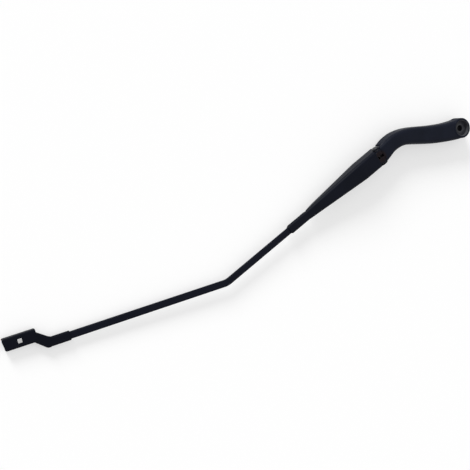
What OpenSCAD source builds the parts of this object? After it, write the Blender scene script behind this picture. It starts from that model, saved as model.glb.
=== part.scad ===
// Windscreen wiper arm: cast mounting head, sprung steel channel, flat rod and blade connector.
// Millimetres. The origin is on the spindle bore's axis at the seat of the spindle's nut, +Z points
// away from the glass and +X runs from the spindle towards the connector's window.

/* [Spindle boss] */
// Radius of the round boss at its top
boss_r = 13.5; // [13:0.25:16]
// Height of the boss above the cast arm's underside
boss_h = 16; // [14:0.5:20]
// How far the boss's collar reaches below the cast arm
boss_drop = 4; // [1:0.5:5]
// Radius of the recess for the spindle nut
recess_r = 10.3; // [9:0.1:11]
// Depth of the recess
recess_depth = 5.5; // [3:0.25:7]
// Radius of the plain stretch of the bore under the nut
bore_r = 4.2; // [3.5:0.1:5]
// Length of the plain stretch of the bore
bore_plain = 4; // [2:0.5:6]
// Radius of the knurled taper at the underside
taper_r = 5.3; // [4.8:0.1:6.5]
// Ridges of the knurled taper
knurl_count = 30; // [18:2:40]

/* [Cast arm] */
// Thickness of the cast walls
cast_wall = 3; // [2:0.25:4]
// Half width of the cast arm beside the boss
arm_half_wide = 11.7; // [10.5:0.1:13]
// Half width of the cast arm at its waist
arm_half_waist = 10.2; // [9.4:0.1:12]
// Half width of the cast arm behind the hinge
arm_half_end = 10.2; // [9.6:0.1:12]
// Radius of the rounded shoulders
arm_shoulder = 5; // [2:0.5:6]
// Outward lean of the cast walls from top to bottom
arm_draft = 0.6; // [0:0.1:1.5]

/* [Hinge] */
// Distance of the hinge pin from the spindle along X
pivot_x = 136; // [125:0.5:150]
// Offset of the hinge pin from the spindle along Y
pivot_y = -14.2; // [-18:0.1:-10]
// Height of the hinge pin above the head's underside
pivot_z = 12; // [11:0.5:15]
// Radius of the hinge pin
pin_r = 2.5; // [2:0.1:3]
// Running clearance of the hinge pin in its bushes, on the radius
pin_clear = 0.05; // [0.02:0.01:0.1]
// Wall of the plastic bushes
bush_wall = 1.1; // [0.8:0.1:1.5]
// Thickness of the bushes' flanges
flange_t = 0.9; // [0.6:0.1:1.2]
// Radius of the bushes' flanges
flange_r = 5.2; // [4.6:0.1:6]
// Gap between a flange and the channel's ear
flange_gap = 0.2; // [0.1:0.05:0.4]
// Radius of the lug that fits between the ears
lug_r = 7.2; // [6.5:0.1:7.5]
// Width of the slot for the spring link
slot_w = 3.4; // [3.2:0.1:4.4]

/* [Channel] */
// Thickness of the channel's sheet steel
sheet_t = 1.4; // [1:0.1:1.6]
// Outside width of the channel at the hinge
channel_w = 23.2; // [21:0.1:26]
// Height of the channel's top above the hinge pin
top_above = 8.5; // [8.2:0.1:10]
// Depth of the channel's edges below the hinge pin
edge_below = 9.5; // [8.8:0.1:11]
// Outside radius of the channel's shoulders
channel_shoulder = 4; // [2.5:0.25:5]
// Radius of the ears about the hinge pin
ear_r = 6.4; // [6:0.1:8.5]
// Where the channel's top begins, ahead of the hinge pin
top_start = 5; // [4:0.25:6]
// Length of the straight stretch ahead of the hinge pin
straight_end = 34; // [20:1:40]
// Where the taper meets the neck, ahead of the hinge pin
neck_start = 128; // [120:1:150]
// Length of the neck that is crimped round the rod
neck_length = 32; // [20:1:45]

/* [Rod] */
// Width of the flat rod
rod_w = 9; // [8:0.1:10]
// Thickness of the flat rod
rod_t = 3.5; // [3:0.1:4]
// Depth of the rod's centre below the hinge pin
rod_below = 2.5; // [2:0.1:3.5]
// Distance from the hinge pin to the rod's bend
bend_at = 265.4; // [200:0.2:400]
// Angle of the bend in plan
bend_angle = 21.2; // [12:0.05:30]
// Half length of the forged elbow
elbow_half = 4.5; // [3:0.5:12]
// Length of the rod past its bend
rod_reach = 229; // [150:1:400]
// Angle between the channel and the X axis, in plan
arm_yaw = 13.35; // [8:0.1:18]
// Downward slope of the whole arm from the hinge
arm_pitch = 1; // [0:0.25:1.5]

/* [Connector] */
// Length of the sleeve round the rod's end
sleeve_length = 27; // [18:1:40]
// Thickness of the connector's sheet steel
connector_t = 1.3; // [1:0.1:1.5]
// Outside width of the channel end that takes the blade
box_w = 15; // [12:0.5:19]
// Length of the channel end
box_length = 39.2; // [28:0.1:50]
// Height of the channel end
box_h = 8; // [7:0.25:11]
// Sideways step from the rod to the channel end
box_step = 12.8; // [9:0.1:14]
// Length of the joggle along the rod
jog_length = 9.2; // [7:0.1:14]
// Side of the square window
window_side = 5; // [4.9:0.1:6.5]
// How far the channel end's outer corner runs past its inner one
tip_slant = 1.3; // [0:0.1:4]
// Radius of the channel end's corners at its tip, in plan
tip_round = 3; // [1:0.1:3.5]
// Distance from the channel end's free edge to the window's middle
window_from_end = 19.8; // [12:0.1:24]

/* [Spring] */
// Distance of the cross pin behind the hinge pin
hook_back = 5.2; // [5:0.1:6]
// Depth of the cross pin below the hinge pin
hook_below = 5.2; // [5:0.1:6]
// Radius of the cross pin
hook_pin_r = 1.6; // [1.3:0.1:1.8]
// Thickness of the spring link's plate
link_t = 2.6; // [2:0.1:2.8]
// Width of the spring link's strip
link_w = 2.8; // [2.4:0.1:3.2]
// Clearance between the hinge pin and the spring link that hooks round it
link_clear = 0.5; // [0.3:0.1:0.8]
// Wire diameter of the spring
wire_d = 1.8; // [1.4:0.1:1.9]
// Mean radius of the spring's coils
coil_r = 3.6; // [3.5:0.1:3.8]
// Gap between neighbouring coils
coil_gap = 0.12; // [0.08:0.02:0.3]
// Distance of the spring's far hook from the hinge pin
anchor_at = 90; // [85:1:98]

/* [Hidden] */
eps = 0.01;
fine = 96;
cast_black = [0.12, 0.13, 0.16];
sheet_black = [0.14, 0.15, 0.18];
rod_black = [0.10, 0.11, 0.15];
steel = [0.62, 0.63, 0.65];
plastic = [0.82, 0.80, 0.74];

// How far the spring linkage turns while the arm lifts
lift_max = 65;
hook_dist = norm([hook_back, hook_below]);
anchor_dist = norm([anchor_at, rod_below]);
anchor_rest = atan2(-rod_below, anchor_at) - arm_pitch;
function anchor_line(lift) = anchor_dist * [cos(anchor_rest + lift), sin(anchor_rest + lift)]
    + [hook_back, hook_below];
line_rest = norm(anchor_line(0));
line_slope = atan2(anchor_line(0)[1], anchor_line(0)[0]);
stretch = hook_dist + anchor_dist - line_rest;
link_turn = atan2(anchor_line(lift_max)[1], anchor_line(lift_max)[0]) - line_slope;
// Bearing of the hinge pin seen from the cross pin, at rest and with the arm lifted
pin_bearing = atan2(hook_below, hook_back) - line_slope;
pin_bearing_up = pin_bearing - link_turn;

cheek_half = channel_w / 2 - sheet_t - flange_gap - flange_t;
notch_r = norm([top_start, top_above]) + 0.3;
bush_r = pin_r + pin_clear + bush_wall;
bush_seat = 0.02;

// Points along an arc, for outlines
function arc(c, r, a0, a1, n) =
    [for (i = [0:n]) c + r * [cos(a0 + (a1 - a0) * i / n), sin(a0 + (a1 - a0) * i / n)]];

// Section of an upside-down channel: half width h, from z0 up to z1, shoulders of radius r,
// with edges that lean outwards by d
function arch(h, z0, z1, r, d = 0, n = 6) = concat(
    [[-h - d, z0]], arc([-h + r, z1 - r], r, 180, 90, n), arc([h - r, z1 - r], r, 90, 0, n), [[h + d, z0]]);

// Skin through sections; each section is [x, y, heading, outline]
module loft(rows) {
    m = len(rows[0][3]);
    last = (len(rows) - 1) * m;
    skin = [for (s = rows) for (p = s[3]) [s[0] - sin(s[2]) * p[0], s[1] + cos(s[2]) * p[0], p[1]]];
    sides = [for (i = [0:len(rows) - 2]) for (j = [0:m - 1]) let (a = i * m + j, b = i * m + (j + 1) % m)
             each [[a, b, b + m], [a, b + m, a + m]]];
    ends = [[for (j = [m - 1:-1:0]) j], [for (j = [0:m - 1]) last + j]];
    polyhedron(points = skin, faces = concat(sides, ends), convexity = 6);
}

// Frame of the head's outline: heights are measured from its underside
seat_z = boss_h - recess_depth;
module from_underside() {
    translate([0, 0, -seat_z]) children();
}

// Frames of the moving arm: in_arm has its origin on the hinge pin and X along the channel,
// in_leg has its origin at the rod's bend and X along the rod's far leg
module in_arm() {
    translate([pivot_x, pivot_y, pivot_z - seat_z]) rotate([0, arm_pitch, arm_yaw]) children();
}
module at_hinge() {
    translate([pivot_x, pivot_y, pivot_z - seat_z]) rotate([0, 0, arm_yaw]) children();
}
module in_leg() {
    in_arm() translate([bend_at, 0, -rod_below]) rotate([0, 0, -bend_angle]) children();
}

// A round bar along the hinge axis, from -half to half
module cross_bar(r, half, at = [0, 0]) {
    translate([at[0], 0, at[1]]) rotate([90, 0, 0]) cylinder(h = 2 * half, r = r, center = true, $fn = fine);
}

// Centre line of the cast arm in plan, from the spindle to the hinge
head_path = [[0, 0.6], [66, -6.6], [88, -36.6], [pivot_x - 10, pivot_y - 3.1]];
function path_at(t) = pow(1 - t, 3) * head_path[0] + 3 * pow(1 - t, 2) * t * head_path[1]
    + 3 * (1 - t) * t * t * head_path[2] + pow(t, 3) * head_path[3];
function path_dir(t) = let (d = path_at(min(1, t + 0.01)) - path_at(max(0, t - 0.01))) atan2(d[1], d[0]);
function arm_half(t) = lookup(t, [[0, boss_r - 0.3], [0.12, boss_r - 1.1], [0.3, arm_half_wide],
                                  [0.72, arm_half_waist], [1, arm_half_end]]);
function arm_top(t) = lookup(t, [[0, boss_h - 0.6], [0.3, boss_h + 0.3], [0.8, pivot_z + top_above - 0.7],
                                 [1, pivot_z + top_above - 0.7]]);
link_eye_r = hook_pin_r + 1.8;
eye_boss_r = hook_pin_r + 3;
nose_reach = 8;
nose_half = channel_w / 2 - channel_shoulder - 0.1;
nose_top = top_above - sheet_t - nose_reach * sin(arm_pitch) - 0.3;
lug_floor = pivot_z - hook_below - eye_boss_r;
function arm_floor(t) = lookup(t, [[0, 0], [0.5, 0], [1, lug_floor]]);
function head_rows(t0, t1, n, inset, drop) = [for (i = [0:n]) let (t = t0 + (t1 - t0) * i / n, p = path_at(t))
    [p[0], p[1], path_dir(t), arch(arm_half(t) - inset, arm_floor(t) - drop, arm_top(t) - inset,
                                   max(0.8, arm_shoulder - inset), arm_draft)]];

boss_round = 1.5;
collar_r = recess_r + 1;
collar_edge = 0.6;
module boss() {
    rotate_extrude($fn = fine) {
        difference() {
            union() {
                polygon([[0, 0], [boss_r + 0.5, 0], [boss_r, boss_h], [0, boss_h]]);
                polygon([[0, -boss_drop], [collar_r - collar_edge, -boss_drop],
                         [collar_r, -boss_drop + collar_edge], [collar_r, 1], [0, 1]]);
            }
            translate([boss_r - boss_round, boss_h - boss_round]) difference() {
                square(2 * boss_round);
                circle(r = boss_round, $fn = fine);
            }
        }
    }
}

// Bore for the spindle: a nut recess, a plain stretch and a knurled taper below
recess_edge = 0.7;
knurl_depth = 0.3;
module spindle_bore() {
    taper_length = seat_z + boss_drop - bore_plain;
    taper_scale = (bore_r + knurl_depth + 0.05) / taper_r;
    translate([0, 0, seat_z]) cylinder(h = recess_depth + 1, r = recess_r, $fn = fine);
    translate([0, 0, boss_h - recess_edge])
        cylinder(h = recess_edge + eps, r1 = recess_r, r2 = recess_r + recess_edge, $fn = fine);
    translate([0, 0, seat_z - bore_plain]) cylinder(h = bore_plain + eps, r = bore_r, $fn = fine);
    knurl = [for (i = [0:2 * knurl_count - 1])
             (taper_r - (i % 2) * knurl_depth) * [cos(180 * i / knurl_count), sin(180 * i / knurl_count)]];
    translate([0, 0, -boss_drop - eps]) linear_extrude(height = taper_length + eps, scale = taper_scale)
        polygon(knurl);
}

module mounting_head() {
    rib_t = 2.4;
    rib_at = [0.42, 0.64];
    pocket_from = 0.2;
    pocket_to = 0.86;
    lug_back = hook_back + 7.5;
    lug_rise = hook_below + eye_boss_r + 3;
    eye_room = link_eye_r + 0.5;
    slot_low = -30;
    // Points on the back wall of the slot, along the link when the arm is lifted
    function link_back(s) = let (a = line_slope + link_turn)
        [-hook_back, -hook_below] + s * [cos(a), sin(a)] + (slot_half + 2.1) * [-sin(a), cos(a)];
    color(cast_black) difference() {
        union() {
            from_underside() boss();
            difference() {
                from_underside() loft(head_rows(0.02, 1, 22, 0, 0));
                at_hinge() cross_bar(notch_r, 2 * channel_w);
                // Pocket under the cast arm, open below, crossed by ribs
                from_underside() difference() {
                    loft(head_rows(pocket_from, pocket_to, 14, cast_wall, 1));
                    for (t = rib_at) let (p = path_at(t))
                        translate([p[0], p[1], 0]) rotate([0, 0, path_dir(t)])
                            translate([-rib_t / 2, -channel_w, 0]) cube([rib_t, 2 * channel_w, 2 * boss_h]);
                }
            }
            // Lug between the channel's ears, with the nose that stops the channel's top
            at_hinge() {
                cross_bar(lug_r, cheek_half);
                cross_bar(eye_boss_r, cheek_half, [-hook_back, -hook_below]);
                translate([-lug_back, -cheek_half, -hook_below - eye_boss_r])
                    cube([lug_back - hook_back, 2 * cheek_half, lug_rise]);
                translate([0, -nose_half, 0]) cube([nose_reach, 2 * nose_half, nose_top]);
            }
        }
        from_underside() spindle_bore();
        at_hinge() {
            cross_bar(bush_r + bush_seat, cheek_half + 1);
            cross_bar(hook_pin_r + bush_seat, cheek_half + 1, [-hook_back, -hook_below]);
            // Slot in which the spring link swings
            cross_bar(eye_room, slot_w / 2, [-hook_back, -hook_below]);
            rotate([90, 0, 0]) linear_extrude(height = slot_w, center = true) polygon([
                [-hook_back - eye_room, slot_low], [-hook_back - eye_room, -hook_below],
                link_back(0), link_back(-slot_low), [-slot_low, slot_low]]);
        }
    }
}

// Flanged bush: side is 1 on the +Y side of the lug and -1 on the other
module pivot_bush(side) {
    length = cheek_half - slot_w / 2;
    color(plastic) at_hinge() mirror([0, side < 0 ? 1 : 0, 0]) translate([0, slot_w / 2, 0]) rotate([-90, 0, 0])
        difference() {
            union() {
                cylinder(h = length, r = bush_r, $fn = fine);
                translate([0, 0, length]) cylinder(h = flange_t, r = flange_r, $fn = fine);
            }
            translate([0, 0, -1]) cylinder(h = length + flange_t + 2, r = pin_r + pin_clear, $fn = fine);
        }
}
module pivot_bush_left() {
    pivot_bush(1);
}
module pivot_bush_right() {
    pivot_bush(-1);
}

// Rivet through the channel's ears, with a domed head on each side
module pivot_pin() {
    head_r = pin_r + 2.2;
    head_h = 1.6;
    dome_r = (head_r * head_r + head_h * head_h) / (2 * head_h);
    color(steel) in_arm() {
        cross_bar(pin_r, channel_w / 2 + eps);
        for (side = [0, 1]) mirror([0, side, 0]) translate([0, channel_w / 2, 0]) rotate([-90, 0, 0])
            intersection() {
                cylinder(h = head_h, r = head_r, $fn = fine);
                translate([0, 0, head_h - dome_r]) sphere(r = dome_r, $fn = fine);
            }
    }
}

module spring_pin() {
    color(steel) at_hinge() cross_bar(hook_pin_r, cheek_half, [-hook_back, -hook_below]);
}

// Frame of the spring linkage: origin on the cross pin, X towards the spring's far hook
module in_line() {
    at_hinge() translate([-hook_back, 0, -hook_below]) rotate([0, -line_slope, 0]) children();
}

// Place of the wire in the link's slot, with the spring at its shortest
link_reach = 24;
slot_half = wire_d / 2 + 0.45;
loop_bow = coil_r - sqrt(coil_r * coil_r - link_t * link_t / 4);
slot_in = link_reach - wire_d / 2 - 0.25;
slot_out = link_reach + stretch + loop_bow + wire_d / 2 + 0.25;
link_end = slot_out + 2.4;

// Flat link with an eye on the cross pin, a bow that hooks round the hinge pin when the arm
// is lifted, and a slotted tongue for the spring
module spring_link() {
    bow_c = hook_dist * [cos(pin_bearing_up), sin(pin_bearing_up)];
    bow_in = pin_r + link_clear;
    bow_out = bow_in + link_w;
    tongue = slot_half + 1.5;
    web_turn = -52;
    web_w = 4;
    color(steel) in_line() rotate([90, 0, 0]) linear_extrude(height = link_t, center = true) difference() {
        union() {
            circle(r = link_eye_r, $fn = fine);
            translate(bow_c) circle(r = bow_out, $fn = fine);
            // Web from the eye to the bow
            rotate(web_turn) translate([0, -web_w / 2]) square([link_eye_r + link_w, web_w]);
            translate([bow_c[0], -tongue]) square([link_end - tongue - bow_c[0], 2 * tongue]);
            translate([link_end - tongue, 0]) circle(r = tongue, $fn = fine);
        }
        // Path of the hinge pin through the link's plate
        translate(bow_c) circle(r = bow_in, $fn = fine);
        intersection() {
            difference() {
                circle(r = hook_dist + bow_in, $fn = fine);
                circle(r = hook_dist - bow_in, $fn = fine);
            }
            polygon([[0, 0], 40 * [cos(pin_bearing_up), sin(pin_bearing_up)], [40, 40], [-10, 40]]);
        }
        circle(r = hook_pin_r + 0.06, $fn = fine);
        translate([slot_in, -slot_half]) square([slot_out - slot_in, 2 * slot_half]);
    }
}

// Tension spring: one wire that runs from the link's hook through the coils to the rod's hook
coil_pitch = wire_d + coil_gap;
shank = wire_d + 2.4;
coil_a = link_reach + coil_r + shank;
coil_b = line_rest - coil_r - shank;
coil_turns = floor((coil_b - coil_a) / coil_pitch) + 0.25;
coil_start = (coil_a + coil_b - coil_turns * coil_pitch) / 2;
coil_end = coil_start + coil_turns * coil_pitch;
steps_turn = 14;
near_c = [link_reach + coil_r, 0, 0];
far_c = [line_rest - coil_r, 0, 0];
near_hook = [for (a = [-100:20:80]) let (n = [-cos(a), sin(a), 0]) [near_c + coil_r * n, n]];
coil_steps = round(coil_turns * steps_turn);
coil_path = [for (i = [0:coil_steps]) let (a = 360 * coil_turns * i / coil_steps, n = [0, cos(a), sin(a)])
             [[coil_start + (coil_end - coil_start) * i / coil_steps, 0, 0] + coil_r * n, n]];
far_hook = [for (a = [10:20:190]) let (n = [sin(a), 0, cos(a)]) [far_c + coil_r * n, n]];
wire_path = concat(near_hook, [[near_c + [0.6, coil_r, 0], [0, 1, 0]]], coil_path,
                   [[far_c + [-0.6, 0, coil_r], [0, 0, 1]]], far_hook);
module tension_spring() {
    k = 6;
    n = len(wire_path);
    skin = [for (i = [0:n - 1]) let (p = wire_path[i][0], q = wire_path[i][1],
            d = wire_path[min(n - 1, i + 1)][0] - wire_path[max(0, i - 1)][0], t = d / norm(d),
            a = q - (q * t) * t, u = a / norm(a), w = cross(t, u))
            for (j = [0:k - 1]) p + wire_d / 2 * (cos(360 * j / k) * u + sin(360 * j / k) * w)];
    sides = [for (i = [0:n - 2]) for (j = [0:k - 1]) let (a = i * k + j, b = i * k + (j + 1) % k)
             each [[a, b + k, b], [a, a + k, b + k]]];
    color(steel) in_line() polyhedron(points = skin, convexity = 10,
        faces = concat(sides, [[for (j = [0:k - 1]) j]], [[for (j = [k - 1:-1:0]) (n - 1) * k + j]]));
}

// Gap between the rod and the sheet crimped round it
crimp_gap = 0.05;
neck_half = rod_w / 2 + crimp_gap + sheet_t;
neck_up = rod_t / 2 + crimp_gap + sheet_t;
neck_end = neck_start + neck_length;

// Flat bar with round edges along X, its middle on the axis
module strip_section(w, t) {
    square([w - t, t], center = true);
    for (side = [-1, 1]) translate([side * (w - t) / 2, 0]) circle(d = t, $fn = 48);
}
module strip(length, w = rod_w, t = rod_t) {
    rotate([90, 0, 90]) linear_extrude(height = length) strip_section(w, t);
}

// Upside-down channel section drawn with squares and circles
module arch_section(w, z0, z1, r) {
    translate([-w / 2, z0]) square([w, z1 - z0 - r]);
    translate([-w / 2 + r, z0]) square([w - 2 * r, z1 - z0]);
    for (side = [-1, 1]) translate([side * (w / 2 - r), z1 - r]) circle(r = r, $fn = 64);
}

module channel() {
    back = -ear_r - 1;
    seam_w = 1.2;
    clip = 3;
    neck_z0 = -rod_below - neck_up;
    neck_z1 = -rod_below + neck_up;
    function wide(inset, drop) = arch(channel_w / 2 - inset, -edge_below - drop, top_above - inset,
                                      channel_shoulder - inset);
    function narrow(inset, drop) = arch(neck_half - inset, neck_z0 - drop, neck_z1 - inset,
                                        neck_up - inset - 0.1);
    function rows(inset, drop) = [
        [back - drop, 0, 0, wide(inset, drop)],
        [straight_end, 0, 0, wide(inset, drop)],
        [neck_start + 2, 0, 0, narrow(inset, drop)]];
    color(sheet_black) in_arm() difference() {
        union() {
            // Folded sheet: a straight stretch and a taper down to the neck
            difference() {
                loft(rows(0, 0));
                loft(rows(sheet_t, 1));
                // The top is cut back over the lug, and the sides end at the ears
                translate([back - 2, -channel_w, 0]) cube([top_start - back + 2, 2 * channel_w, top_above + 1]);
                translate([back - 2, -channel_w, -edge_below - 1])
                    cube([-back + 2, 2 * channel_w, edge_below + 2]);
            }
            // Round ears
            intersection() {
                cross_bar(ear_r, channel_w / 2);
                for (side = [0, 1]) mirror([0, side, 0])
                    translate([-channel_w, channel_w / 2 - sheet_t, -channel_w])
                        cube([2 * channel_w, sheet_t, 2 * channel_w]);
            }
            // Neck crimped round the rod, with a seam below and clipped corners
            intersection() {
                translate([neck_start, 0, -rod_below]) strip(neck_length, 2 * neck_half, 2 * neck_up);
                translate([0, 0, -channel_w]) linear_extrude(height = 2 * channel_w) polygon([
                    [neck_start - 1, -neck_half - 1], [neck_end - clip, -neck_half - 1],
                    [neck_end + 0.5, -neck_half + clip - 0.5], [neck_end + 0.5, neck_half - clip + 0.5],
                    [neck_end - clip, neck_half + 1], [neck_start - 1, neck_half + 1]]);
            }
        }
        translate([straight_end, 0, -rod_below]) strip(neck_end, rod_w + 2 * crimp_gap, rod_t + 2 * crimp_gap);
        translate([neck_start - 1, -seam_w / 2, -edge_below - 1])
            cube([neck_length + 2, seam_w, edge_below + 1 - rod_below]);
        cross_bar(pin_r + bush_seat, channel_w);
    }
}

module rod() {
    hole_r = wire_d / 2 + 0.85;
    elbow_r = elbow_half / tan(bend_angle / 2);
    elbow_lap = 0.5;
    elbow_swell = 0.1;
    inner_end = anchor_at - 5;
    color(rod_black) difference() {
        union() {
            in_arm() translate([inner_end, 0, -rod_below]) strip(bend_at - elbow_half + elbow_lap - inner_end);
            // Forged elbow, a shade thicker than the bar
            in_arm() translate([bend_at - elbow_half, -elbow_r, -rod_below]) rotate([0, 0, 90 - bend_angle])
                rotate_extrude(angle = bend_angle, $fn = 192)
                    translate([elbow_r, 0]) strip_section(rod_w + elbow_swell, rod_t + elbow_swell);
            in_leg() translate([elbow_half - elbow_lap, 0, 0]) strip(rod_reach - elbow_half + elbow_lap);
        }
        in_arm() translate([anchor_at - 0.35, 0, -10]) cylinder(h = 20, r = hole_r, $fn = fine);
    }
}

// Pressed connector: a sleeve round the rod's end, a sideways joggle and a channel end with a window
module connector() {
    sleeve_wall = 1.2;
    lead_in = 1;
    sleeve_half = rod_w / 2 + crimp_gap + sleeve_wall;
    sleeve_up = rod_t / 2 + crimp_gap + sleeve_wall;
    sleeve_a = rod_reach - sleeve_length + lead_in;
    jog_a = rod_reach + 2;
    box_a = jog_a + jog_length;
    box_b = box_a + box_length;
    box_low = -box_step - box_w / 2;
    box_high = -box_step + box_w / 2;
    box_round = 2;
    web_top = sleeve_up;
    web_low = -rod_t / 2 - 1.2;
    box_top = web_top + 0.8;
    web_lap = 6;
    // Plan of the joggle: a slanted strip from the sleeve to the channel end
    web = [[jog_a - web_lap, -sleeve_half], [jog_a - 3.6, -sleeve_half - 1.1], [box_a, -box_step - 3.4],
           [box_a + web_lap, -box_step - 3.4], [box_a + web_lap, box_high - 1.3], [box_a + 4.2, box_high - 0.3],
           [jog_a + 1.3, sleeve_half - 1], [jog_a - 0.6, sleeve_half - 0.2], [jog_a - 4, sleeve_half - 0.2]];
    color(sheet_black) in_leg() {
        // Sleeve and joggle
        difference() {
            union() {
                translate([sleeve_a, 0, 0]) strip(rod_reach - sleeve_a, 2 * sleeve_half, 2 * sleeve_up);
                translate([0, 0, web_low]) linear_extrude(height = web_top - web_low) polygon(web);
            }
            translate([sleeve_a - 1, 0, 0])
                strip(rod_reach - sleeve_a + 1 + 2 * crimp_gap, rod_w + 2 * crimp_gap, rod_t + 2 * crimp_gap);
            translate([0, 0, web_low - 1]) linear_extrude(height = web_top - web_low + 1 - connector_t)
                offset(delta = -connector_t) polygon(web);
            translate([box_a, box_low + connector_t, web_low - 1])
                cube([box_length, box_w - 2 * connector_t, web_top - web_low + 1 - connector_t]);
        }
        // Channel end with rounded corners at its tip
        difference() {
            intersection() {
                translate([box_a, -box_step, 0]) rotate([90, 0, 90]) linear_extrude(height = box_length)
                    difference() {
                        arch_section(box_w, box_top - box_h, box_top, box_round);
                        arch_section(box_w - 2 * connector_t, box_top - box_h - 1, box_top - connector_t,
                                     box_round - connector_t);
                    }
                translate([0, 0, -box_w]) linear_extrude(height = 2 * box_w) polygon(concat(
                    [[box_a - 1, box_high + 1], [box_a - 1, box_low - 1], [box_b - tip_round, box_low - 1]],
                    arc([box_b - tip_round, box_low + tip_round], tip_round, -90, -10, 6),
                    arc([box_b - tip_slant - tip_round, box_high - tip_round], tip_round, -10, 90, 6),
                    [[box_b - tip_slant - tip_round, box_high + 1]]));
            }
            translate([box_b - window_from_end - window_side / 2, -box_step - window_side / 2, -box_h])
                cube([window_side, window_side, 2 * box_h]);
        }
    }
}

mounting_head();
pivot_bush_left();
pivot_bush_right();
pivot_pin();
spring_pin();
spring_link();
tension_spring();
channel();
rod();
connector();
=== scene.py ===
import math

import bmesh
import bpy
from mathutils import Matrix, Vector


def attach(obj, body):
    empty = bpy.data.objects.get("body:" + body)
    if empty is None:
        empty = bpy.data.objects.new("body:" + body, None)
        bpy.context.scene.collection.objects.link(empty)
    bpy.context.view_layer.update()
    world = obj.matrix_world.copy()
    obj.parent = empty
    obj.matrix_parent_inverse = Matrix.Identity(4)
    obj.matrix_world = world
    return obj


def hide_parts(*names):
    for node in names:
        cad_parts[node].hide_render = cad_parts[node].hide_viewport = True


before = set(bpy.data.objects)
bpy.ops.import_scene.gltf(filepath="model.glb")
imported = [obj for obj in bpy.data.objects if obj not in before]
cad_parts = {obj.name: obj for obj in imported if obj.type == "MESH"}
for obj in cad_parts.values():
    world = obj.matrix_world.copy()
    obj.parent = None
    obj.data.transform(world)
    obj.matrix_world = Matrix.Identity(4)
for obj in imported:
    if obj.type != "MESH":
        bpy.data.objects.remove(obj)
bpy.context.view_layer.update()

mm = 0.001
print("frame loaded:", len(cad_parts), "nodes")

# places on the arm, in millimetres and degrees
arm = dict(hinge=(136, -14.2, 1.5), yaw=13.35, pitch=1.0, bendAt=265.4, bendAngle=21.2, rodBelow=2.5,
           hookBack=5.2, hookBelow=5.2, anchorAt=90)


def turn(axis, degrees):
    return Matrix.Rotation(math.radians(degrees), 4, axis)


def shift(x, y, z):
    return Matrix.Translation((x, y, z))


# frames: the casting, the hinge, the arm that turns on it, and the line that the spring pulls along
toMetres = Matrix.Scale(mm, 4)
atHinge = toMetres @ shift(*arm["hinge"]) @ turn("Z", arm["yaw"])
acrossHinge = atHinge @ turn("X", 90)
acrossHook = acrossHinge @ shift(-arm["hookBack"], -arm["hookBelow"], 0)
inArm = atHinge @ turn("Y", arm["pitch"])

# the spring's line at rest, from the link's pin in the casting to the hole in the rod
anchorDist = math.hypot(arm["anchorAt"], arm["rodBelow"])
anchorTurn = math.radians(math.degrees(math.atan2(-arm["rodBelow"], arm["anchorAt"])) - arm["pitch"])
anchorX = anchorDist * math.cos(anchorTurn) + arm["hookBack"]
anchorZ = anchorDist * math.sin(anchorTurn) + arm["hookBelow"]
lineRest = math.hypot(anchorX, anchorZ)
lineSlope = math.degrees(math.atan2(anchorZ, anchorX))
inLine = atHinge @ shift(-arm["hookBack"], 0, -arm["hookBelow"]) @ turn("Y", -lineSlope)


# meshes
def newObject(name, bm, place=None):
    if place is not None:
        bm.transform(place)
    mesh = bpy.data.meshes.new(name)
    bm.to_mesh(mesh)
    bm.free()
    piece = bpy.data.objects.new(name, mesh)
    bpy.context.scene.collection.objects.link(piece)
    return piece


def bake(piece):
    # apply the live modifiers and keep a plain mesh
    depsgraph = bpy.context.evaluated_depsgraph_get()
    depsgraph.update()
    mesh = bpy.data.meshes.new_from_object(piece.evaluated_get(depsgraph))
    old = piece.data
    piece.modifiers.clear()
    piece.data = mesh
    bpy.data.meshes.remove(old)
    mesh.name = piece.name
    return piece


def modify(piece, kind, **settings):
    modifier = piece.modifiers.new(kind.lower(), kind)
    for key, value in settings.items():
        setattr(modifier, key, value)
    return bake(piece)


def combine(piece, operation, *others):
    for other in others:
        modify(piece, "BOOLEAN", object=other, operation=operation, solver="MANIFOLD")
        bpy.data.objects.remove(other)


def breakEdges(piece, width, angle):
    modify(piece, "BEVEL", width=width * mm, segments=2, limit_method="ANGLE", angle_limit=math.radians(angle))


def soften(piece, voxel, rounding):
    # an even mesh, with its edges worn round as on a casting or a pressing
    modify(piece, "REMESH", mode="VOXEL", voxel_size=voxel * mm)
    modify(piece, "SMOOTH", factor=0.5, iterations=rounding)


def smoothShade(piece, angle=35):
    mesh = piece.data
    mesh.polygons.foreach_set("use_smooth", [True] * len(mesh.polygons))
    mesh.set_sharp_from_angle(angle=math.radians(angle))
    mesh.update()


def cadCopy(node):
    bm = bmesh.new()
    bm.from_mesh(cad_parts[node].data)
    bmesh.ops.remove_doubles(bm, verts=bm.verts, dist=0.002 * mm)
    return bm


def arc(cx, cy, r, start, end, steps):
    angles = [math.radians(start + (end - start) * k / steps) for k in range(steps + 1)]
    return [(cx + r * math.cos(a), cy + r * math.sin(a)) for a in angles]


def lathe(name, profile, place, steps=64):
    # closed shape turned about local Z; profile is a list of (radius, height)
    bm = bmesh.new()
    rings = []
    for r, z in profile:
        angles = [2 * math.pi * k / steps for k in range(steps if r else 1)]
        rings.append([bm.verts.new((r * math.cos(a), r * math.sin(a), z)) for a in angles])
    pairs = list(zip(rings, rings[1:]))
    if profile[0][0] > 0 and profile[-1][0] > 0:
        pairs.append((rings[-1], rings[0]))
    for a, b in pairs:
        for k in range(steps):
            j = (k + 1) % steps
            face = [a[k % len(a)], a[j % len(a)], b[j % len(b)], b[k % len(b)]]
            face = [v for i, v in enumerate(face) if v not in face[:i]]
            if len(face) > 2:
                bm.faces.new(face)
    bmesh.ops.recalc_face_normals(bm, faces=bm.faces)
    return newObject(name, bm, place)


def cylinder(name, r, low, high, place, steps=64):
    return lathe(name, [(0, low), (r, low), (r, high), (0, high)], place, steps)


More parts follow.
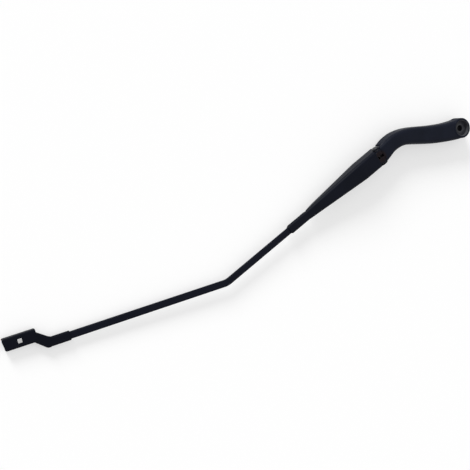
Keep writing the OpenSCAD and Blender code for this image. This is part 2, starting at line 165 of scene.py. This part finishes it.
def loft(name, bottom, top, place):
    # closed shape between two outlines with as many points each
    bm = bmesh.new()
    lows = [bm.verts.new(p) for p in bottom]
    highs = [bm.verts.new(p) for p in top]
    bm.faces.new(lows[::-1])
    bm.faces.new(highs)
    for k in range(len(lows)):
        j = (k + 1) % len(lows)
        bm.faces.new((lows[k], lows[j], highs[j], highs[k]))
    bmesh.ops.recalc_face_normals(bm, faces=bm.faces)
    return newObject(name, bm, place)


def prism(name, outline, low, high, place=None):
    # outline in local XY, pulled from low to high along local Z
    return loft(name, [(x, y, low) for x, y in outline], [(x, y, high) for x, y in outline], place)


# nodes
def addNode(tree, kind, inputs, **settings):
    # an input's value is a plain value, or the output that it is linked to
    node = tree.nodes.new(kind)
    for key, value in settings.items():
        setattr(node, key, value)
    for socket, value in inputs.items():
        if isinstance(value, bpy.types.NodeSocket):
            tree.links.new(value, node.inputs[socket])
        else:
            node.inputs[socket].default_value = value
    return node


def compute(tree, operation, first, second):
    return addNode(tree, "ShaderNodeMath", {0: first, 1: second}, operation=operation).outputs[0]


def mapRange(tree, value, fromRange, toRange, kind="LINEAR"):
    return addNode(tree, "ShaderNodeMapRange", {
        "Value": value, "From Min": fromRange[0], "From Max": fromRange[1],
        "To Min": toRange[0], "To Max": toRange[1]}, interpolation_type=kind).outputs["Result"]


def blend(tree, factor, first, second):
    # the node's colours are its inputs 6 and 7 and its output 2
    return addNode(tree, "ShaderNodeMix", {0: factor, 6: first, 7: second}, data_type="RGBA").outputs[2]


def seenDirectly(tree):
    # 1 for the rays that see the white ground, 0 for those that only light the arm
    rays = addNode(tree, "ShaderNodeLightPath", {}).outputs
    seen = compute(tree, "MAXIMUM", rays["Is Camera Ray"], rays["Is Glossy Ray"])
    return compute(tree, "MAXIMUM", seen, rays["Is Transmission Ray"])


# finishes: cloudSize and grainSize are the scales of the broad and the fine noise
paintBase = dict(cloudDetail=6, cloudRoughness=0.6, grainDetail=3, glossBy="clouds", glossFrom=(0.3, 0.7),
                 metallic=0.0)
plainBase = dict(cloudDetail=5, cloudRoughness=0.5, grainDetail=2, glossBy="grain", glossFrom=(0.0, 1.0),
                 specular=0.5)
finishes = dict(
    castPaint=dict(paintBase, slot="cast_paint", dark=(0.0048, 0.0064, 0.0120), light=(0.0080, 0.0100, 0.0182),
                   roughness=(0.40, 0.54), specular=0.055, grainSize=900, bump=0.12, cloudSize=55, wornAndLitWall=True),
    sheetPaint=dict(paintBase, slot="sheet_paint", dark=(0.0036, 0.0046, 0.0088), light=(0.0054, 0.0068, 0.0124),
                    roughness=(0.36, 0.46), specular=0.05, grainSize=1400, bump=0.06, cloudSize=40),
    rodPaint=dict(paintBase, slot="rod_paint", dark=(0.0030, 0.0040, 0.0088), light=(0.0050, 0.0062, 0.0126),
                  roughness=(0.34, 0.44), specular=0.06, grainSize=1400, bump=0.06, cloudSize=40),
    # a darker copy of the sheet paint for the connector: painted shade
    shadedSheetPaint=dict(paintBase, slot="sheet_paint", dark=(0.0024, 0.0032, 0.0066), light=(0.0042, 0.0050, 0.0096),
                  roughness=(0.36, 0.46), specular=0.045, grainSize=1400, bump=0.06, cloudSize=50),
    rivetPaint=dict(paintBase, slot="sheet_paint", dark=(0.0100, 0.0110, 0.0130), light=(0.0260, 0.0270, 0.0290),
                    roughness=(0.30, 0.42), specular=0.30, grainSize=1400, bump=0.06, cloudSize=400),
    zinc=dict(plainBase, slot="plated_steel", dark=(0.30, 0.30, 0.29), light=(0.52, 0.52, 0.50),
              roughness=(0.25, 0.42), metallic=1.0, grainSize=1400, bump=0.06, cloudSize=700 / 3),
    springSteel=dict(plainBase, slot="spring_steel", dark=(0.07, 0.07, 0.075), light=(0.14, 0.14, 0.145),
                     roughness=(0.28, 0.4), metallic=1.0, grainSize=1800, bump=0.05, cloudSize=300),
    nylon=dict(plainBase, slot="bush_plastic", dark=(0.10, 0.10, 0.10), light=(0.15, 0.15, 0.145),
               roughness=(0.42, 0.55), metallic=0.0, grainSize=2400, bump=0.04, cloudSize=400),
)
grainHeight = 0.1
coloursAt = (0.3, 0.7)

# bare rings on the spindle axis, where the nut has rubbed, and a lighter ring up the seat's wall that is a
# painted highlight:
# inner and outer radius, lowest and highest place, strength; and a brown stain on the shoulder, full within
# rustNear and gone at rustFar
seatWearAndLitWall = dict(rings=((4.0, 6.4, -1.2, 0.5, 0.75), (5.5, 10.6, -1.0, 0.6, 0.42), (9.6, 10.9, 0.3, 5.2, 0.9)),
                soft=0.5, colour=(0.10, 0.102, 0.108), patchFrom=(0.3, 0.6), patchTo=(0.45, 1.0),
                rust=(0.0105, 0.0074, 0.0090), rustAt=(2, 0, 8), rustNear=6.5, rustFar=9.5)


def wearSeatAndLightWall(tree, place, clouds, colour):
    w = seatWearAndLitWall
    split = addNode(tree, "ShaderNodeSeparateXYZ", {"Vector": place}).outputs
    flat = addNode(tree, "ShaderNodeCombineXYZ", {"X": split["X"], "Y": split["Y"]}).outputs["Vector"]
    axisFar = addNode(tree, "ShaderNodeVectorMath", {0: flat}, operation="LENGTH").outputs["Value"]

    def within(value, low, high):
        # 1 between low and high, soft at both ends
        soft = w["soft"]
        rise = mapRange(tree, value, ((low - soft) * mm, (low + soft) * mm), (0, 1), "SMOOTHSTEP")
        fall = mapRange(tree, value, ((high + soft) * mm, (high - soft) * mm), (0, 1), "SMOOTHSTEP")
        return compute(tree, "MULTIPLY", rise, fall)

    bareAndLit = 0
    # the rings on the floor are bare metal; the ring on the wall lightens it all round as a painted highlight
    for inner, outer, low, high, strength in w["rings"]:
        ring = compute(tree, "MULTIPLY", within(axisFar, inner, outer), within(split["Z"], low, high))
        bareAndLit = compute(tree, "MAXIMUM", bareAndLit, compute(tree, "MULTIPLY", ring, strength))
    patches = mapRange(tree, clouds, w["patchFrom"], w["patchTo"])
    colour = blend(tree, compute(tree, "MULTIPLY", bareAndLit, patches), colour, (*w["colour"], 1))
    spotFar = addNode(tree, "ShaderNodeVectorMath", {0: place, 1: atHinge @ Vector(w["rustAt"])},
                      operation="DISTANCE").outputs["Value"]
    stain = mapRange(tree, spotFar, (w["rustFar"] * mm, w["rustNear"] * mm), (0, 1))
    return blend(tree, stain, colour, (*w["rust"], 1))


def makeFinish(name, f):
    # broad clouds in the colour, fine grain in the surface, and uneven gloss
    material = bpy.data.materials.new(name)
    material.use_nodes = True
    tree = material.node_tree
    shader = tree.nodes["Principled BSDF"]
    place = addNode(tree, "ShaderNodeTexCoord", {}).outputs["Object"]
    clouds = addNode(tree, "ShaderNodeTexNoise", {
        "Vector": place, "Scale": f["cloudSize"], "Detail": f["cloudDetail"],
        "Roughness": f["cloudRoughness"]}).outputs["Fac"]
    grain = addNode(tree, "ShaderNodeTexNoise", {
        "Vector": place, "Scale": f["grainSize"], "Detail": f["grainDetail"]}).outputs["Fac"]
    ramp = addNode(tree, "ShaderNodeValToRGB", {"Fac": clouds})
    for element, position, colour in zip(ramp.color_ramp.elements, coloursAt, (f["dark"], f["light"])):
        element.position = position
        element.color = (*colour, 1)
    colour = ramp.outputs["Color"]
    # bare rings where the nut rubs, a painted highlight on the seat's wall, and a rust stain
    if f.get("wornAndLitWall"):
        colour = wearSeatAndLightWall(tree, place, clouds, colour)
    gloss = mapRange(tree, clouds if f["glossBy"] == "clouds" else grain, f["glossFrom"], f["roughness"])
    bump = addNode(tree, "ShaderNodeBump", {
        "Height": grain, "Strength": f["bump"], "Distance": grainHeight * mm}).outputs["Normal"]
    for socket, output in (("Base Color", colour), ("Roughness", gloss), ("Normal", bump)):
        tree.links.new(output, shader.inputs[socket])
    shader.inputs["Specular IOR Level"].default_value = f["specular"]
    shader.inputs["Metallic"].default_value = f["metallic"]
    return material


materials = {name: makeFinish(name, f) for name, f in finishes.items()}
print("finishes made:", ", ".join(materials))


def dress(piece, finish, body, node):
    piece.data.materials.clear()
    piece.data.materials.append(materials[finish])
    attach(piece, body)
    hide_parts(node)
    print("made", piece.name, len(piece.data.polygons), "faces")


# mounting head: the seat for the nut, the knurled taper and the hinge lugs
head = dict(voxel=0.5, rounding=5, sharp=40, borePast=2,
            seatR=10.3, seatDeep=5.5, seatPast=3, chamfer=0.7, chamferOver=0.5, seatSteps=96,
            boreR=4.2, borePlain=4, boreOver=0.5, boreTop=1,
            bossLow=-14.5, taperR=5.3, taperFlare=1.02, taperPast=1, taperLip=0.35, ridges=30, ridgeDeep=0.3,
            plugIn=0.4, plugWall=1, plugStep=-0.5, seatFillR=10.9, pivotPlugIn=0.3, pivotPlugWall=0.8,
            bushR=3.67, pinR=1.62, cheekHalf=9.1)

# the cast shoulder that runs on over the hinge lugs and ends square to the channel
shoulder = dict(half=11.0, top=7.9, round=3.6, roundSteps=8, low=2.0, start=-17, end=-3.1,
                narrower=0.10, lean=1.9)

# room for the channel's ears and for the link, which swings up through its slot
room = dict(earR=6.8, earFrom=10.0, earDeep=3, linkHalf=1.75,
            link=((-9.3, -30), (-9.3, -3.0), (-8.2, -1.6), (-6.2, -0.3), (-4.7, 0.2), (-4.5, 5.2),
                  (-3.0, 6.95), (-3.0, 12), (14, 12), (14, -30)))


def makeShoulder():
    s = shoulder
    half, top, r = s["half"], s["top"], s["round"]
    arch = [(half, s["low"]), *arc(half - r, top - r, r, 0, 90, s["roundSteps"]),
            *arc(r - half, top - r, r, 90, 180, s["roundSteps"]), (-half, s["low"])]
    piece = prism("shoulder", arch, s["start"], s["end"])
    for vertex in piece.data.vertices:
        t = (vertex.co.z - s["end"]) / (s["start"] - s["end"])
        vertex.co.x = vertex.co.x * (1 - s["narrower"] * t) - s["lean"] * t
    piece.data.transform(atHinge @ turn("Z", 90) @ turn("X", 90))
    return piece


def ridgedOutline(z, size):
    h = head
    points = []
    for k in range(2 * h["ridges"]):
        r = size * (h["taperR"] - (k % 2) * h["ridgeDeep"])
        a = math.pi * k / h["ridges"]
        points.append((r * math.cos(a), r * math.sin(a), z))
    return points


def makeHead():
    h = head
    piece = newObject("castHead", cadCopy("mounting_head"))
    # plugs fill the machined holes while the casting is rounded, and the holes are cut again after it
    fillLow, fillR = h["bossLow"] + h["plugIn"], h["taperR"] + h["plugWall"]
    fillTop, cheek = h["seatDeep"] - h["plugIn"], h["cheekHalf"] - h["pivotPlugIn"]
    plug = lathe("plug", [(0, fillLow), (fillR, fillLow), (fillR, h["plugStep"]), (h["seatFillR"], h["plugStep"]),
                          (h["seatFillR"], fillTop), (0, fillTop)], toMetres)
    pivotPlug = cylinder("pivotPlug", h["bushR"] + h["pivotPlugWall"], -cheek, cheek, acrossHinge)
    combine(piece, "UNION", plug, pivotPlug, makeShoulder())
    soften(piece, h["voxel"], h["rounding"])
    top, steps, past = h["seatDeep"], h["seatSteps"], h["cheekHalf"] + h["borePast"]
    rimR = h["seatR"] + (1 + h["chamferOver"]) * h["chamfer"]
    rimTop, seatEnd = top + h["chamferOver"] * h["chamfer"], top + h["seatPast"]
    seat = lathe("seat", [(0, 0), (h["seatR"], 0), (h["seatR"], top - h["chamfer"]), (rimR, rimTop),
                          (rimR, seatEnd), (0, seatEnd)], toMetres, steps)
    bore = cylinder("bore", h["boreR"], -h["borePlain"] - h["boreOver"], h["boreTop"], toMetres, steps)
    knurls = loft("knurls", ridgedOutline(h["bossLow"] - h["taperPast"], h["taperFlare"]),
                  ridgedOutline(-h["borePlain"], (h["boreR"] + h["taperLip"]) / h["taperR"]), toMetres)
    pivotBore = cylinder("pivotBore", h["bushR"], -past, past, acrossHinge, steps)
    pinBore = cylinder("pinBore", h["pinR"], -past, past, acrossHook)
    linkRoom = prism("linkRoom", room["link"], -room["linkHalf"], room["linkHalf"], acrossHinge)
    earRooms = [cylinder("earRoom", room["earR"], room["earFrom"], room["earFrom"] + room["earDeep"],
                         atHinge @ turn("X", angle)) for angle in (90, -90)]
    combine(piece, "DIFFERENCE", seat, bore, knurls, pivotBore, pinBore, linkRoom, *earRooms)
    smoothShade(piece, h["sharp"])
    dress(piece, "castPaint", "head", "mounting_head")


makeHead()

# plastic bushes in the lugs, one from each side
bush = dict(inner=2.55, outer=3.65, flangeR=5.2, flangeT=0.9, half=9.1, slotHalf=1.71, edge=0.2, steps=72)


def makeBush(name, angle, node):
    b = bush
    start, end, edge = b["slotHalf"], b["half"], b["edge"]
    face = end + b["flangeT"]
    profile = [(b["inner"] + edge, start), (b["outer"] - edge, start), (b["outer"], start + edge),
               (b["outer"], end), (b["flangeR"] - edge, end), (b["flangeR"], end + edge),
               (b["flangeR"], face - edge), (b["flangeR"] - edge, face), (b["inner"] + edge, face),
               (b["inner"], face - edge), (b["inner"], start + edge)]
    piece = lathe(name, profile, atHinge @ turn("X", angle), b["steps"])
    smoothShade(piece)
    dress(piece, "nylon", "head", node)


makeBush("bushLeft", -90, "pivot_bush_left")
makeBush("bushRight", 90, "pivot_bush_right")

# hinge rivet with domed heads, each with a shallow dimple in its face
rivet = dict(shaft=2.5, half=11.61, headR=4.7, headH=1.6, rim=0.25, undercut=0.15, domeSteps=8,
             dimpleR=1.0, dimpleWallR=1.35, dimpleRimR=1.6, dimpleDeep=0.25, dimpleRound=0.02, steps=72, sharp=30)


def makeRivet():
    r = rivet
    face, rimR = r["half"] + r["headH"], r["dimpleRimR"]
    side = [(0, face - r["dimpleDeep"]), (r["dimpleR"], face - r["dimpleDeep"]),
            (r["dimpleWallR"], face - r["dimpleRound"]), (rimR, face)]
    for x, y in arc(0, 0, 1, 90, 0, r["domeSteps"])[1:]:
        side.append((rimR + (r["headR"] - rimR) * x, r["half"] + r["rim"] + (r["headH"] - r["rim"]) * y))
    side += [(r["headR"] - r["undercut"], r["half"]), (r["shaft"], r["half"])]
    profile = side + [(x, -y) for x, y in side[::-1]]
    piece = lathe("hingeRivet", profile, inArm @ turn("X", 90), r["steps"])
    smoothShade(piece, r["sharp"])
    dress(piece, "rivetPaint", "arm", "pivot_pin")


makeRivet()

# cross pin that holds the link
crossPin = dict(r=1.6, half=9.08, edge=0.3, steps=48)


def makeCrossPin():
    c = crossPin
    r, half, edge = c["r"], c["half"], c["edge"]
    profile = [(0, -half), (r - edge, -half), (r, -half + edge), (r, half - edge), (r - edge, half), (0, half)]
    piece = lathe("crossPin", profile, acrossHook, c["steps"])
    smoothShade(piece)
    dress(piece, "zinc", "head", "spring_pin")


makeCrossPin()

# flat link between the cross pin and the spring
linkPlate = dict(edge=0.3, edgeAngle=50, flatWithin=1)


def makeLink():
    bm = cadCopy("spring_link")
    bmesh.ops.dissolve_limit(bm, angle_limit=math.radians(linkPlate["flatWithin"]), verts=bm.verts,
                             edges=bm.edges)
    piece = newObject("springLink", bm)
    breakEdges(piece, linkPlate["edge"], linkPlate["edgeAngle"])
    smoothShade(piece)
    dress(piece, "zinc", "link", "spring_link")


makeLink()


# bars and wires that follow a path
def makePathTree():
    # a line of points -> a curve with round bends -> a bar with round corners
    tree = bpy.data.node_groups.new("barAlongPath", "GeometryNodeTree")
    inputs = (("Geometry", "Geometry", None), ("Width", "Float", 0.009), ("Thickness", "Float", 0.0035),
              ("Corner", "Float", 0.00175), ("Bend Radius", "Float", 0.02), ("Bend Steps", "Int", 10),
              ("Corner Steps", "Int", 10), ("Finish", "Material", None))
    for name, kind, value in inputs:
        socket = tree.interface.new_socket(name, in_out="INPUT", socket_type="NodeSocket" + kind)
        if value is not None:
            socket.default_value = value
    tree.interface.new_socket("Geometry", in_out="OUTPUT", socket_type="NodeSocketGeometry")

    entry = addNode(tree, "NodeGroupInput", {}).outputs
    line = addNode(tree, "GeometryNodeMeshToCurve", {"Mesh": entry["Geometry"]}).outputs["Curve"]
    path = addNode(tree, "GeometryNodeFilletCurve", {
        "Curve": line, "Radius": entry["Bend Radius"], "Count": entry["Bend Steps"],
        "Limit Radius": True}, mode="POLY").outputs["Curve"]
    upright = addNode(tree, "GeometryNodeSetCurveNormal", {"Curve": path}, mode="Z_UP").outputs["Curve"]
    box = addNode(tree, "GeometryNodeCurvePrimitiveQuadrilateral", {
        "Width": entry["Width"], "Height": entry["Thickness"]}).outputs["Curve"]
    section = addNode(tree, "GeometryNodeFilletCurve", {
        "Curve": box, "Radius": entry["Corner"], "Count": entry["Corner Steps"],
        "Limit Radius": True}, mode="POLY").outputs["Curve"]
    bar = addNode(tree, "GeometryNodeCurveToMesh", {
        "Curve": upright, "Profile Curve": section, "Fill Caps": True}).outputs["Mesh"]
    real = addNode(tree, "GeometryNodeRealizeInstances", {"Geometry": bar}).outputs["Geometry"]
    coated = addNode(tree, "GeometryNodeSetMaterial", {
        "Geometry": real, "Material": entry["Finish"]}).outputs["Geometry"]
    addNode(tree, "NodeGroupOutput", {"Geometry": coated})
    return tree


barAlongPath = makePathTree()


def followPath(name, points, inputs, place):
    bm = bmesh.new()
    verts = [bm.verts.new([v * mm for v in p]) for p in points]
    for a, b in zip(verts, verts[1:]):
        bm.edges.new((a, b))
    piece = newObject(name, bm)
    modifier = piece.modifiers.new("path", "NODES")
    modifier.node_group = barAlongPath
    for item in barAlongPath.interface.items_tree:
        if item.in_out == "INPUT" and item.name in inputs:
            modifier[item.identifier] = inputs[item.name]
    bake(piece)
    bm = bmesh.new()
    bm.from_mesh(piece.data)
    bmesh.ops.remove_doubles(bm, verts=bm.verts, dist=0.0005 * mm)
    bm.transform(place @ Matrix.Scale(1 / mm, 4))
    bmesh.ops.recalc_face_normals(bm, faces=bm.faces)
    bm.to_mesh(piece.data)
    bm.free()
    return piece


# flat rod with its elbow and the hole for the spring
rod = dict(width=9.0, thickness=3.5, innerEnd=85, reach=229, elbowHalf=4.5, bendSteps=10, cornerSteps=10,
           holeR=1.75, holeAt=89.65, holePast=10, holeSteps=48, endEdge=0.3, edgeAngle=60, sharp=40)


def makeRod():
    r = rod
    bend, z = math.radians(arm["bendAngle"]), -arm["rodBelow"]
    end = (arm["bendAt"] + r["reach"] * math.cos(bend), -r["reach"] * math.sin(bend), z)
    piece = followPath("flatRod", [(r["innerEnd"], 0, z), (arm["bendAt"], 0, z), end], {
        "Width": r["width"] * mm, "Thickness": r["thickness"] * mm, "Corner": r["thickness"] / 2 * mm,
        "Bend Radius": r["elbowHalf"] / math.tan(bend / 2) * mm, "Bend Steps": r["bendSteps"],
        "Corner Steps": r["cornerSteps"], "Finish": materials["rodPaint"]}, inArm)
    breakEdges(piece, r["endEdge"], r["edgeAngle"])
    hole = cylinder("springHole", r["holeR"], -r["holePast"], r["holePast"], inArm @ shift(r["holeAt"], 0, 0),
                    r["holeSteps"])
    combine(piece, "DIFFERENCE", hole)
    smoothShade(piece, r["sharp"])
    dress(piece, "rodPaint", "arm", "rod")


makeRod()

# tension spring: one wire with a hook at each end, a quarter turn apart
spring = dict(wire=1.8, coil=3.6, gap=0.12, linkReach=24, shank=2.4, partTurn=0.25, stepsTurn=28,
              linkHook=(-100, 80), rodHook=(10, 190), hookStep=10, straight=0.6, wireSteps=2, sharp=60)


def makeSpring():
    s = spring
    pitch, shank, r, step = s["wire"] + s["gap"], s["wire"] + s["shank"], s["coil"], s["hookStep"]
    near, far = s["linkReach"] + r, lineRest - r
    coilA, coilB = near + shank, far - shank
    turns = math.floor((coilB - coilA) / pitch) + s["partTurn"]
    start = (coilA + coilB - turns * pitch) / 2
    path = []
    for angle in range(s["linkHook"][0], s["linkHook"][1] + 1, step):
        a = math.radians(angle)
        path.append((near - r * math.cos(a), r * math.sin(a), 0))
    path.append((near + s["straight"], r, 0))
    steps = round(turns * s["stepsTurn"])
    for k in range(steps + 1):
        a = 2 * math.pi * turns * k / steps
        path.append((start + turns * pitch * k / steps, r * math.cos(a), r * math.sin(a)))
    path.append((far - s["straight"], 0, r))
    for angle in range(s["rodHook"][0], s["rodHook"][1] + 1, step):
        a = math.radians(angle)
        path.append((far + r * math.sin(a), 0, r * math.cos(a)))
    piece = followPath("tensionSpring", path, {
        "Width": s["wire"] * mm, "Thickness": s["wire"] * mm, "Corner": s["wire"] / 2 * mm,
        "Bend Radius": 0.0, "Bend Steps": 1, "Corner Steps": s["wireSteps"],
        "Finish": materials["springSteel"]}, inLine)
    smoothShade(piece, s["sharp"])
    dress(piece, "springSteel", "spring", "tension_spring")


makeSpring()

# folded channel: stations are places along it that need a section of their own, and the taper after
# them is evenly divided; endClip is how far each corner of the trim lies past the end and the neck's side
sheet = dict(thick=1.4, half=11.6, top=8.5, low=-9.5, shoulder=4, topStart=7.1, straightEnd=34,
             neckStart=128, neckLength=32, neckHalf=5.95, neckUp=3.2, taperPast=2, foldLess=0.1,
             riseFrom=110, lastLow=1.0, wallFrom=4.0, wallOver=120,
             earR=6.4, earStart=30, earEnd=270, earSteps=28, seamHalf=0.6, pinR=2.52, cutHalf=20,
             lipStep=1.2, stations=(13, 20, 28, 32, 34), evenFrom=36, evenLength=90.5, evenSteps=22,
             beforeNeck=0.9, neckSteps=16, neckSide=(0.3, 0.6, 1), topSteps=6, shoulderSteps=10, tabSteps=8,
             endClip=((-3, 1), (0.5, -2.5), (3, -2.5), (3, 4), (-3, 4)), edge=0.28, edgeAngle=55, sharp=40)


def share(x, start, end):
    # how far x has come from start to end, held between 0 and 1
    return min(1.0, max(0.0, (x - start) / (end - start)))


def channelSize(x):
    # half width, top, lower edge and fold radius at a place along the channel
    c = sheet
    middle = -arm["rodBelow"]
    if x >= c["neckStart"]:
        return c["neckHalf"], middle + c["neckUp"], middle, c["neckUp"]
    f = share(x, c["straightEnd"], c["neckStart"] + c["taperPast"])
    half = c["half"] + (c["neckHalf"] - c["half"]) * f
    top = c["top"] + (middle + c["neckUp"] - c["top"]) * f
    low = c["low"] + (middle - c["neckUp"] - c["low"]) * f
    low += (middle - c["lastLow"] - low) * share(x, c["riseFrom"], c["neckStart"]) ** 2
    return half, top, low, c["shoulder"] + (c["neckUp"] - c["foldLess"] - c["shoulder"]) * f


def channelSection(x):
    # one half of the sheet's outer side, from the middle of the top down, as (y, z)
    c = sheet
    middle = -arm["rodBelow"]
    half, top, low, r = channelSize(x)
    points = [((half - r) * k / c["topSteps"], top) for k in range(c["topSteps"])]
    points += arc(half - r, top - r, r, 90, 0, c["shoulderSteps"])
    if x < c["neckStart"] - c["beforeNeck"]:
        ledge = c["wallFrom"] + (middle - c["wallFrom"]) * share(x, c["topStart"], c["topStart"] + c["wallOver"])
        return points + [(half, ledge), (half, (ledge + low) / 2), (half, low)]
    return points + [(half, top - r + (middle - top + r) * t) for t in c["neckSide"]]


def addEar(bm, column):
    # the side wall below and behind the start of the top, round about the rivet, as one face
    c = sheet
    y = column[0].co.y
    tail = [bm.verts.new((x, y, z)) for x, z in arc(0, 0, c["earR"], c["earStart"], c["earEnd"], c["earSteps"])]
    bm.faces.new([*column, *tail, bm.verts.new((0.0, y, c["low"]))])


def addTab(bm, xs, edges):
    # the crimp from the neck's side to the seam under the rod
    c = sheet
    middle, r = -arm["rodBelow"], c["neckUp"]
    sign = 1 if edges[0].co.y > 0 else -1
    previous = None
    for x, edge in zip(xs, edges):
        under = arc(c["neckHalf"] - r, middle, r, 0, -90, c["tabSteps"])[1:] + [(c["seamHalf"], middle - r)]
        line = [edge] + [bm.verts.new((x, sign * y, z)) for y, z in under]
        if previous:
            for k in range(len(line) - 1):
                bm.faces.new((previous[k], previous[k + 1], line[k + 1], line[k]))
        previous = line


def makeChannel():
    c = sheet
    end = c["neckStart"] + c["neckLength"]
    xs = [c["topStart"], c["topStart"] + c["lipStep"], *c["stations"]]
    xs += [c["evenFrom"] + c["evenLength"] * k / c["evenSteps"] for k in range(c["evenSteps"] + 1)]
    xs += [c["neckStart"] - c["beforeNeck"]]
    xs += [c["neckStart"] + c["neckLength"] * k / c["neckSteps"] for k in range(c["neckSteps"] + 1)]
    bm = bmesh.new()
    grid = []
    for x in xs:
        row = channelSection(x)
        right = [bm.verts.new((x, -y, z)) for y, z in row]
        left = [right[0]] + [bm.verts.new((x, y, z)) for y, z in row[1:]]
        grid.append(left[::-1] + right[1:])
    for a, b in zip(grid, grid[1:]):
        for k in range(len(a) - 1):
            bm.faces.new((a[k], a[k + 1], b[k + 1], b[k]))
    addEar(bm, grid[0][:3])
    addEar(bm, grid[0][:-4:-1])
    neck = xs.index(c["neckStart"])
    for side in (0, -1):
        addTab(bm, xs[neck:], [row[side] for row in grid[neck:]])
    bmesh.ops.recalc_face_normals(bm, faces=bm.faces)
    if max(bm.faces, key=lambda f: f.calc_center_median().z).normal.z < 0:
        bmesh.ops.reverse_faces(bm, faces=bm.faces)
    piece = newObject("foldedChannel", bm, inArm)
    modify(piece, "SOLIDIFY", thickness=c["thick"] * mm, offset=-1, use_even_offset=True)
    deep = c["cutHalf"]
    hole = cylinder("pinHole", c["pinR"], -deep, deep, inArm @ turn("X", 90))
    clips = [prism("clip", [(end + x, sign * (c["neckHalf"] + y)) for x, y in c["endClip"]], -deep, deep, inArm)
             for sign in (1, -1)]
    combine(piece, "DIFFERENCE", hole, *clips)
    breakEdges(piece, c["edge"], c["edgeAngle"])
    smoothShade(piece, c["sharp"])
    dress(piece, "sheetPaint", "arm", "channel")


makeChannel()

# pressed connector for the blade
tip = dict(voxel=0.3, rounding=3, keep=0.35, sharp=50)


def makeConnector():
    piece = newObject("bladeConnector", cadCopy("connector"))
    soften(piece, tip["voxel"], tip["rounding"])
    modify(piece, "DECIMATE", ratio=tip["keep"])
    smoothShade(piece, tip["sharp"])
    # the connector takes the sheet paint darkened as painted shade
    dress(piece, "shadedSheetPaint", "arm", "connector")


makeConnector()

# floor, light and camera
studio = dict(floorZ=-14.7, floorSide=6, floorColour=(0.80, 0.80, 0.80), seenColour=(0.60, 0.60, 0.60),
              glow=0.452, ambient=0.55,
              key=dict(to=(0.10, -0.93, 0.36), strength=2.6, angle=20),
              fill=dict(to=(-0.6, 0.5, 0.8), strength=0.25, angle=60))


def makeFloor():
    # seen directly the floor glows up to white and keeps the shadow; from below it is clear
    s = studio
    half, z = s["floorSide"] / 2, s["floorZ"] * mm
    bm = bmesh.new()
    bm.faces.new([bm.verts.new((x * half, y * half, z)) for x, y in ((-1, -1), (1, -1), (1, 1), (-1, 1))])
    floor = newObject("floor", bm)
    material = bpy.data.materials.new("paleFloor")
    material.use_nodes = True
    tree = material.node_tree
    tree.nodes.clear()
    matt = addNode(tree, "ShaderNodeBsdfDiffuse", {"Color": (*s["floorColour"], 1)}).outputs[0]
    seenMatt = addNode(tree, "ShaderNodeBsdfDiffuse", {"Color": (*s["seenColour"], 1)}).outputs[0]
    glow = addNode(tree, "ShaderNodeEmission", {"Strength": s["glow"]}).outputs[0]
    bright = addNode(tree, "ShaderNodeAddShader", {0: seenMatt, 1: glow}).outputs[0]
    upper = addNode(tree, "ShaderNodeMixShader", {0: seenDirectly(tree), 1: matt, 2: bright}).outputs[0]
    behind = addNode(tree, "ShaderNodeNewGeometry", {}).outputs["Backfacing"]
    clear = addNode(tree, "ShaderNodeBsdfTransparent", {}).outputs[0]
    oneSided = addNode(tree, "ShaderNodeMixShader", {0: behind, 1: upper, 2: clear}).outputs[0]
    addNode(tree, "ShaderNodeOutputMaterial", {"Surface": oneSided})
    floor.data.materials.append(material)


def makeWorld():
    # white where it is seen directly, dimmer as light on the arm
    world = bpy.data.worlds.new("studio")
    bpy.context.scene.world = world
    world.use_nodes = True
    tree = world.node_tree
    back = tree.nodes["Background"]
    level = mapRange(tree, seenDirectly(tree), (0, 1), (studio["ambient"], 1))
    tree.links.new(level, back.inputs["Strength"])
    back.inputs["Color"].default_value = (1, 1, 1, 1)


def makeLamp(name, to, strength, angle):
    # a wide, far lamp lights the whole floor evenly
    data = bpy.data.lights.new(name, "SUN")
    data.energy = strength
    data.angle = math.radians(angle)
    lamp = bpy.data.objects.new(name, data)
    bpy.context.scene.collection.objects.link(lamp)
    lamp.rotation_mode = "QUATERNION"
    lamp.rotation_quaternion = Vector(to).to_track_quat("Z", "Y")


makeFloor()
makeWorld()
makeLamp("keyLamp", **studio["key"])
makeLamp("fillLamp", **studio["fill"])

# camera solved from the photo: its place and its axes, and a lens of 1000 pixels for a width of 470
view = dict(place=(0.824397, -0.262025, 1.09361), right=(-0.831694, 0.348438, 0.432292),
            up=(-0.405838, -0.912835, -0.04503), back=(0.378921, -0.212892, 0.900609),
            sensor=36.0, focal=1000 / 470 * 36, nearest=0.01, farthest=20)


def makeCamera():
    v = view
    data = bpy.data.cameras.new("photoCamera")
    data.sensor_width = v["sensor"]
    data.lens = v["focal"]
    data.clip_start, data.clip_end = v["nearest"], v["farthest"]
    camera = bpy.data.objects.new("photoCamera", data)
    bpy.context.scene.collection.objects.link(camera)
    rows = [(v["right"][k], v["up"][k], v["back"][k], v["place"][k]) for k in range(3)] + [(0, 0, 0, 1)]
    camera.matrix_world = Matrix(rows)
    bpy.context.scene.camera = camera


makeCamera()
bpy.context.scene.view_settings.view_transform = "Standard"
print("studio made")
